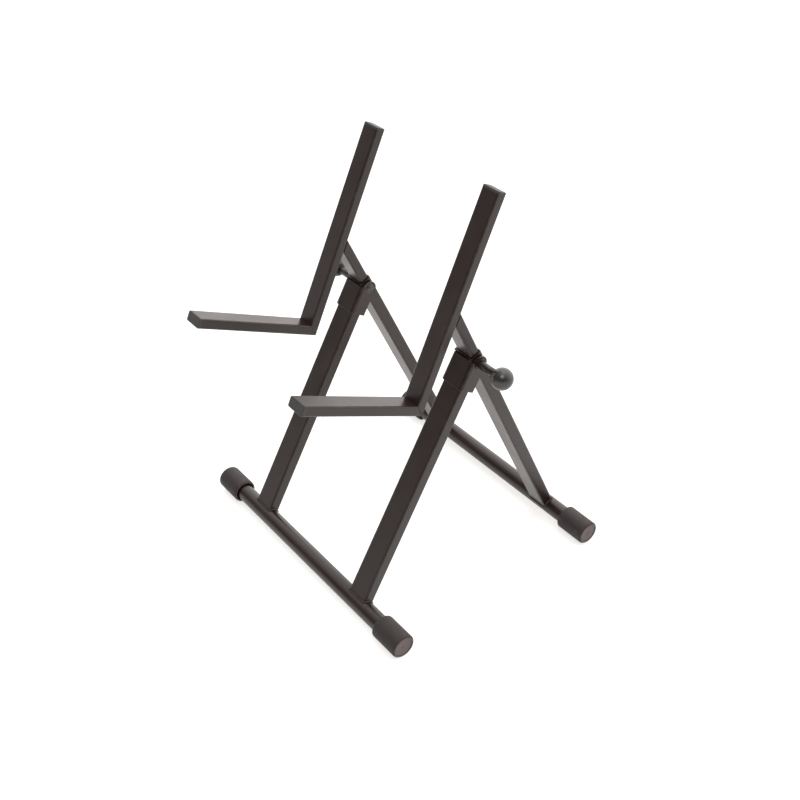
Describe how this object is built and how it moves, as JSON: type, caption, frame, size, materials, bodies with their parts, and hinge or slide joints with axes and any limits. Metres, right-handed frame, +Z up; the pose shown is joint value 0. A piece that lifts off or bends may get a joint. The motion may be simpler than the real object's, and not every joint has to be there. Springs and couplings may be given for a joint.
{
  "type": "folding amplifier stand",
  "caption": "Folding tilt-back floor stand of black steel tube with two L-shaped supports, two round foot bars with rubber caps and ball-knob pivots.",
  "frame": {"origin": "on the floor, in the middle of the footprint", "axes": "+Z up, +X towards the stand's right side along the foot bars, -Y towards the front, where the seat arms point"},
  "size_m": [0.422, 0.4242, 0.5475],
  "materials": {
    "frame_paint": "satin black powder coat",
    "cap_rubber": "matt moulded rubber",
    "plug_plastic": "fine moulded texture",
    "bush_brass": "turned",
    "black_zinc": "black zinc plated",
    "shim_nylon": "natural nylon",
    "knob_plastic": "polished black phenolic"
  },
  "bodies": {
    "rear_frame": {"rear_foot_bar": "frame_paint", "rear_leg_left": "frame_paint", "rear_leg_right": "frame_paint", "strut_left": "frame_paint", "strut_right": "frame_paint", "upright_left": "frame_paint", "upright_right": "frame_paint", "seat_arm_left": "frame_paint", "seat_arm_right": "frame_paint", "rear_foot_cap_left": "cap_rubber", "rear_foot_cap_right": "cap_rubber", "upright_plug_left": "plug_plastic", "upright_plug_right": "plug_plastic", "arm_plug_left": "plug_plastic", "arm_plug_right": "plug_plastic", "pivot_bush_left": "bush_brass", "pivot_bush_right": "bush_brass", "rear_foot_welds": "frame_paint", "upright_welds": "frame_paint", "corner_welds": "frame_paint"},
    "front_frame": {"front_foot_bar": "frame_paint", "front_leg_left": "frame_paint", "front_leg_right": "frame_paint", "pivot_bracket_left": "frame_paint", "pivot_bracket_right": "frame_paint", "front_foot_cap_left": "cap_rubber", "front_foot_cap_right": "cap_rubber", "pivot_bolt_left": "black_zinc", "pivot_bolt_right": "black_zinc", "pivot_washer_left": "black_zinc", "pivot_washer_right": "black_zinc", "pivot_shims_left": "shim_nylon", "pivot_shims_right": "shim_nylon", "front_foot_welds": "frame_paint", "bracket_welds": "frame_paint"},
    "knob_left": {"knob_neck_left": "black_zinc", "ball_knob_left": "knob_plastic"},
    "knob_right": {"knob_neck_right": "black_zinc", "ball_knob_right": "knob_plastic"}
  },
  "joints": [
    {"name": "front_fold", "type": "hinge", "parent": "rear_frame", "child": "front_frame", "pos_m": [0, 0.04253, 0.32727], "axis": [1, 0, 0], "range_deg": [0, 33]},
    {"name": "knob_left_turn", "type": "hinge", "parent": "front_frame", "child": "knob_left", "pos_m": [-0.161, 0.04253, 0.32727], "axis": [-1, 0, 0], "range_deg": [0, 360]},
    {"name": "knob_right_turn", "type": "hinge", "parent": "front_frame", "child": "knob_right", "pos_m": [0.161, 0.04253, 0.32727], "axis": [1, 0, 0], "range_deg": [0, 360]}
  ]
}
